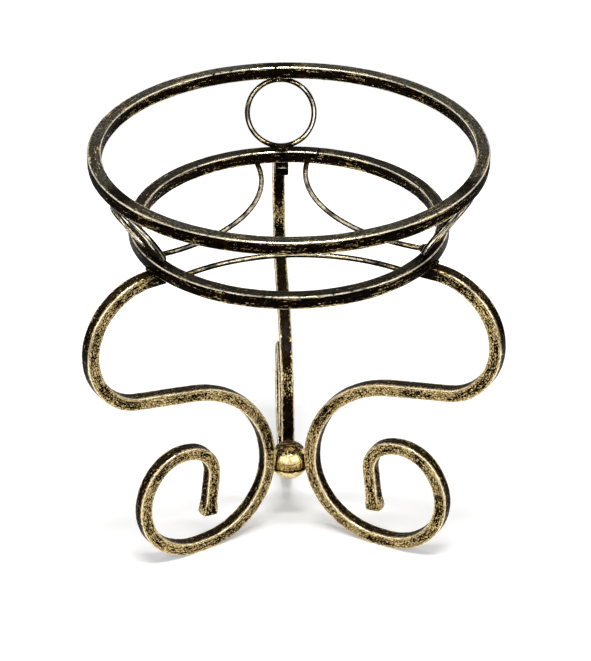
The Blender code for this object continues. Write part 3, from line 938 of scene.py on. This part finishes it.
def sweepWire(name, path, radial, seed, rub, closed):
    # A round section carried along a path. It is rubbed pale along the lines where its skin faces
    # most nearly the front, outwards and inwards, each a little upwards. These lines are a painted
    # highlight where the front lamps' highlights run, and partly rub. wear = how near the skin's
    # direction comes to the nearest of them, taken away beside the welds by a bell curve. A link
    # ring's welds are at its start and half way round, an arc's at its two ends.
    length, wholeLength = path["length"], path["wholeLength"]
    outline, outward, angle = wireOutline(wireShape["wire"] / 2)
    lift = waves(length[:, None], angle[None, :], seed, wholeLength, wireShape["ripple"])
    rounds = outline[None] + lift[..., None] * outward[None]
    grid = sweepBar(path["centre"], path["first"], path["second"], rounds)
    grain = grainOf(np.append(length, wholeLength) if closed else length, outline, 2 * seed)
    weldStep = wholeLength / 2 if closed else wholeLength
    toWeld = np.abs((length + weldStep / 2) % weldStep - weldStep / 2)
    sooty = bell(toWeld, wireShape["weldReach"])[:, None]
    rise = math.radians(rub["rise"])
    level = np.array([towardsFrontLamps, radial, -radial])
    towards = level * math.cos(rise) + upright * math.sin(rise)
    second = np.tile(path["second"], (len(length), 1))
    aims = np.stack([path["first"] @ towards.T, second @ towards.T], -1)
    aims /= np.maximum(np.linalg.norm(aims, axis=-1, keepdims=True), wireShape["leastAim"])
    nearest = (aims @ outward.T).max(axis=1)
    # Painted highlight line, partly rub: pale where the skin faces the front lamps, outwards and
    # inwards
    wear = np.clip((nearest - rub["from"]) / (rub["to"] - rub["from"]), 0, 1)
    masks = np.zeros((len(length), len(outline), 3))
    masks[..., 0] = rub["most"] * wear * (1 - sooty)
    wire = makeSurface(name + "_wire", grid, closed, grain, masks)
    finishPiece(wire, wireFinish, "wire_bronze", name)


def makeLinkRing(side, seed):
    # A circle that leans from the middle of the lower ring to the middle of the top ring:
    # centre = middle + radius * (cos * sideways + sin * rising) of the turn, from the foot on
    radial, sideways = directionsAt(math.radians(legAngles[side]))
    rest = legShape["clearance"] + wireShape["wire"] / 2
    foot = np.array([(lowerHigh[0] - lowerLow[0]) / 2 - barSide / 2, lowerHigh[2] + rest])
    head = np.array([(topHigh[0] - topLow[0]) / 2 - barSide / 2, topLow[2] - rest])
    radius = np.linalg.norm(head - foot) / 2
    rise = (head - foot) / (2 * radius)
    rising = rise[0] * radial + rise[1] * upright
    middle = axisPoint + (foot + head)[0] / 2 * radial + (foot + head)[1] / 2 * upright
    wholeLength = 2 * math.pi * radius
    steps = round(wholeLength / wireShape["step"])
    turn = circleTurns(steps) - math.pi / 2
    out = np.cos(turn)[:, None] * sideways + np.sin(turn)[:, None] * rising
    path = {
        "centre": middle + radius * out, "first": out, "second": np.cross(sideways, rising),
        "length": np.arange(steps) * wholeLength / steps, "wholeLength": wholeLength,
    }
    sweepWire("link_ring_" + side, path, radial, seed, wireShape["linkHighlightLine"], True)


arcShape = {"sideOffset": 0.0185, "drop": 0.0015}


def makeArc(side, seed):
    # A circle's arc that meets the lower ring's bore at right angles at both of its ends:
    # centre = middle + radius * (sin * sideways - cos * radial) of the turn
    radial, sideways = directionsAt(math.radians(arcAngles[side]))
    bore = (lowerHigh[0] - lowerLow[0]) / 2 - barSide - legShape["clearance"]
    halfAngle = math.pi / len(arcAngles) - math.asin(arcShape["sideOffset"] / bore)
    radius = bore * math.tan(halfAngle)
    height = lowerLow[2] + wireShape["wire"] / 2 - arcShape["drop"]
    sweep = math.pi / 2 - halfAngle
    wholeLength = 2 * sweep * radius
    steps = round(wholeLength / wireShape["step"])
    turn = np.linspace(-sweep, sweep, steps)
    out = -np.cos(turn)[:, None] * radial + np.sin(turn)[:, None] * sideways
    middle = axisPoint + bore / math.cos(halfAngle) * radial
    path = {
        "centre": middle + radius * out + height * upright, "first": out, "second": upright,
        "length": np.linspace(0, wholeLength, steps), "wholeLength": wholeLength,
    }
    sweepWire("support_arc_" + side, path, radial, seed, wireShape["arcHighlightLine"], False)


for wireNumber, wireSide in enumerate(legAngles):
    makeLinkRing(wireSide, 21 + wireNumber)
for wireNumber, wireSide in enumerate(arcAngles):
    makeArc(wireSide, 31 + wireNumber)
print("wires made")


# Ball and welds

def globeDirections(polar, columns):
    # direction = (sin * cos turn, sin * sin turn, cos) of each polar angle, from the top down
    turn = circleTurns(columns)
    level = np.sin(polar)[:, None]
    height = np.repeat(np.cos(polar)[:, None], columns, 1)
    return np.stack([level * np.cos(turn), level * np.sin(turn), height], -1)


# Lengths on the ball are in radii
ballShape = {
    "rows": 72, "columns": 96,
    "poleGap": 0.01,        # radians from the pole to the first row, closed by a small cap
    "seamHeight": -0.21,    # height of the seam between the halves, over the middle
    "seamWidth": 0.052, "seamDepth": 0.070, "lip": 0.025, "lipWidth": 0.008,
    "seamRows": 17, "seamReach": 0.08,      # closer rows at the seam
    "shadeRise": 0.034, "shadeWidth": 0.040,    # the seam's dark line, a little over it
    "dent": 0.004,
    "dentWaves": ((3.1, 1.7, 2.2), (-1.4, 4.3, 3.6)), "dentShift": 1.0,
}


def makeBall():
    # A sphere of two pressed halves. Its radius dips at the seam by a bell curve, the upper half
    # is smaller by the lip, and slow sine waves over its directions leave faint dents.
    shape = ballShape
    seam = math.acos(shape["seamHeight"])
    even = np.linspace(0, math.pi, shape["rows"])[1:-1]
    atSeam = seam + np.linspace(-shape["seamReach"], shape["seamReach"], shape["seamRows"])
    polar = np.sort(np.concatenate([even, atSeam, [shape["poleGap"], math.pi - shape["poleGap"]]]))
    direction = globeDirections(polar, shape["columns"])
    groove = shape["seamDepth"] * bell(polar - seam, shape["seamWidth"])
    lip = shape["lip"] / (1 + np.exp((polar - seam) / shape["lipWidth"]))
    firstWave, secondWave = shape["dentWaves"]
    dents = np.sin(direction @ firstWave) * np.sin(direction @ secondWave + shape["dentShift"])
    size = ballRadius * (1 - groove - lip)[:, None] * (1 - shape["dent"] * (1 + dents))
    points = (ballLow + ballHigh) / 2 + size[..., None] * direction
    masks = np.zeros(direction.shape)
    masks[..., 0] = bell(polar - seam + shape["shadeRise"], shape["shadeWidth"])[:, None]
    ball = makeSurface("centre_ball_skin", points, False, direction * ballRadius, masks)
    finishPiece(ball, ballFinish, "ball_gold", "centre_ball")


weldShape = {
    "rows": 40, "columns": 56, "roughness": 0.09,
    "waves": 10,
    "pace": 2.0, "paceMore": 0.7, "calm": 1.5, "calmMore": 0.5,     # each next wave is finer
}
# Size over the CAD bead, across, along the radius and up, and metres towards the axis and up
weldGrowth = {
    "weld_link_foot": {"size": (1.15, 2.3, 2.6), "inwards": 0.0012, "raised": 0.0006},
    "weld_link_head": {"size": (0.9, 1.5, 1.5), "inwards": 0.0008, "raised": 0.0},
    "weld_leg_seat": {"size": (1.15, 1.15, 1.15), "inwards": 0.0, "raised": 0.0},
    "weld_leg_ball": {"size": (1.1, 1.1, 1.1), "inwards": 0.0, "raised": 0.0},
    "weld_arc": {"size": (1.2, 1.2, 1.2), "inwards": 0.0, "raised": 0.0},
}


def pointsOf(node):
    # All of a CAD node's vertices as one array
    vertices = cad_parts[node].data.vertices
    flat = np.empty(len(vertices) * 3, np.float32)
    vertices.foreach_get("co", flat)
    return flat.reshape(-1, 3).astype(float)


def makeWeld(node, seed):
    # An ellipsoid in the place of the CAD bead, whose radius swells and sinks by a sum of sine
    # waves over its directions
    low, high = boxOf(node)
    middle = (low + high) / 2
    growth = next(value for key, value in weldGrowth.items() if node.startswith(key))
    azimuth = math.atan2(middle[1] - axisPoint[1], middle[0] - axisPoint[0])
    radial, sideways = directionsAt(azimuth)
    bead = pointsOf(node)
    spread = np.array([np.ptp(bead @ sideways), np.ptp(bead @ radial), high[2] - low[2]])
    polar = np.linspace(0, math.pi, weldShape["rows"] + 2)[1:-1]
    direction = globeDirections(polar, weldShape["columns"])
    rng = np.random.default_rng(seed)
    swell = np.zeros(direction.shape[:2])
    for wave in range(weldShape["waves"]):
        slope = rng.normal(size=3) * (weldShape["pace"] + wave * weldShape["paceMore"])
        calm = weldShape["calm"] + weldShape["calmMore"] * wave
        swell += np.sin(direction @ slope + rng.uniform(0, 2 * math.pi)) / calm
    middle = middle - growth["inwards"] * radial + growth["raised"] * upright
    lumpy = direction * (1 + weldShape["roughness"] * swell)[..., None]
    local = lumpy * spread / 2 * np.array(growth["size"])
    weld = makeSurface(node + "_lump", middle + local @ np.array([sideways, radial, upright]))
    finishPiece(weld, weldFinish, "weld_dark", node)


makeBall()
weldNodes = sorted(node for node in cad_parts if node.startswith("weld_"))
for weldNumber, weldNode in enumerate(weldNodes):
    makeWeld(weldNode, 41 + weldNumber)
print("ball and welds made")


# Studio

studio = {
    "floorRadius": 0.60, "floorPoints": 128,
    "skyLight": 0.25,       # the sky, for light on the object
    "skyLow": (-0.10, 0.06), "skyHigh": (0.70, 0.88),   # the bright band, on a unit globe
    "darkSky": 0.15, "darkGround": 0.06,        # over and under the band
    "floorGlow": 0.25, "floorCatch": 0.95, "floorBounce": 0.80,
    "rimGlow": 0.40, "rimFrom": 0.22, "rimTo": 0.50,     # the paper glows more towards its rim
}
lamps = {
    "left": {"place": (-1.75, -1.80, 1.45), "size": (3.30, 1.60), "power": 19.0},
    "right": {"place": (1.70, -1.85, 1.45), "size": (3.30, 1.60), "power": 19.0},
    "strip": {"place": (0.0, -0.70, 1.75), "size": (0.80, 0.24), "power": 18.0},
    "over": {"place": (0.05, -0.05, 1.60), "size": (0.40, 0.40), "power": 9.0},
}


def skyBand(tree):
    # 1 in a band from the horizon up, less overhead and under the horizon
    heading = addNode(tree, "ShaderNodeTexCoord").outputs["Generated"]
    height = nextNode("ShaderNodeSeparateXYZ", {0: heading}).outputs["Z"]
    over = rangeNode(height, *studio["skyHigh"], 1.0, studio["darkSky"])
    under = rangeNode(height, *studio["skyLow"], studio["darkGround"], 1.0)
    return multiply(over, under)


def makeSky():
    # White to the camera, and to reflections a white band round the stand
    world = bpy.data.worlds.new("sky")
    world.use_nodes = True
    bpy.context.scene.world = world
    tree = world.node_tree
    path = addNode(tree, "ShaderNodeLightPath").outputs
    clear = larger(path["Is Camera Ray"], path["Is Transmission Ray"])
    skyLight = studio["skyLight"]
    mirrored = multiplyAdd(path["Is Glossy Ray"], 1.0 - skyLight, skyLight)
    lit = multiply(mirrored, skyBand(tree))
    feedNode(tree.nodes["Background"], {"Color": (1, 1, 1, 1), "Strength": larger(clear, lit)})


def makePaper():
    # White paper. To the camera and in reflections it glows a little, more towards its rim,
    # which whitens it and leaves the shadow.
    paper, tree, shader = startFinish("paper")
    path = addNode(tree, "ShaderNodeLightPath").outputs
    seen = larger(path["Is Camera Ray"], path["Is Glossy Ray"])
    seen = larger(seen, path["Is Transmission Ray"])
    bounce = studio["floorBounce"]
    catch = multiplyAdd(seen, studio["floorCatch"] - bounce, bounce)
    shade = nextNode("ShaderNodeCombineColor", {0: catch, 1: catch, 2: catch}).outputs[0]
    place = addNode(tree, "ShaderNodeTexCoord").outputs["Object"]
    reach = vectorNode("LENGTH", place)["Value"]
    glowTo = studio["floorGlow"] + studio["rimGlow"]
    glow = rangeNode(reach, studio["rimFrom"], studio["rimTo"], studio["floorGlow"], glowTo)
    feedNode(shader, {
        "Base Color": shade, "Roughness": 1.0, "Specular IOR Level": 0.0,
        "Emission Color": (1, 1, 1, 1), "Emission Strength": multiply(seen, glow),
    })
    return paper


def makeFloor():
    # A flat round sheet: rim = radius * (cos, sin) of the turn
    turn = circleTurns(studio["floorPoints"])
    rim = studio["floorRadius"] * np.stack([np.cos(turn), np.sin(turn), np.zeros(len(turn))], -1)
    mesh = bpy.data.meshes.new("floor")
    mesh.from_pydata(rim.tolist(), [], [list(range(len(turn)))])
    mesh.materials.append(makePaper())
    floor = addObject("floor", mesh)


def makeLamp(name, lamp):
    # A rectangular softbox that faces the middle of the stand
    light = bpy.data.lights.new(name, "AREA")
    light.shape = "RECTANGLE"
    light.size, light.size_y = lamp["size"]
    light.energy = lamp["power"]
    holder = addObject(name, light)
    holder.location = lamp["place"]
    aim = np.array([axisPoint[0], axisPoint[1], topHigh[2] / 2]) - np.array(lamp["place"])
    lean = math.atan2(math.hypot(aim[0], aim[1]), -aim[2])
    holder.rotation_euler = (lean, 0.0, math.atan2(-aim[0], aim[1]))


makeSky()
makeFloor()
for lampName, lamp in lamps.items():
    makeLamp("lamp_" + lampName, lamp)
bpy.context.scene.view_settings.view_transform = "Standard"
print("studio made")
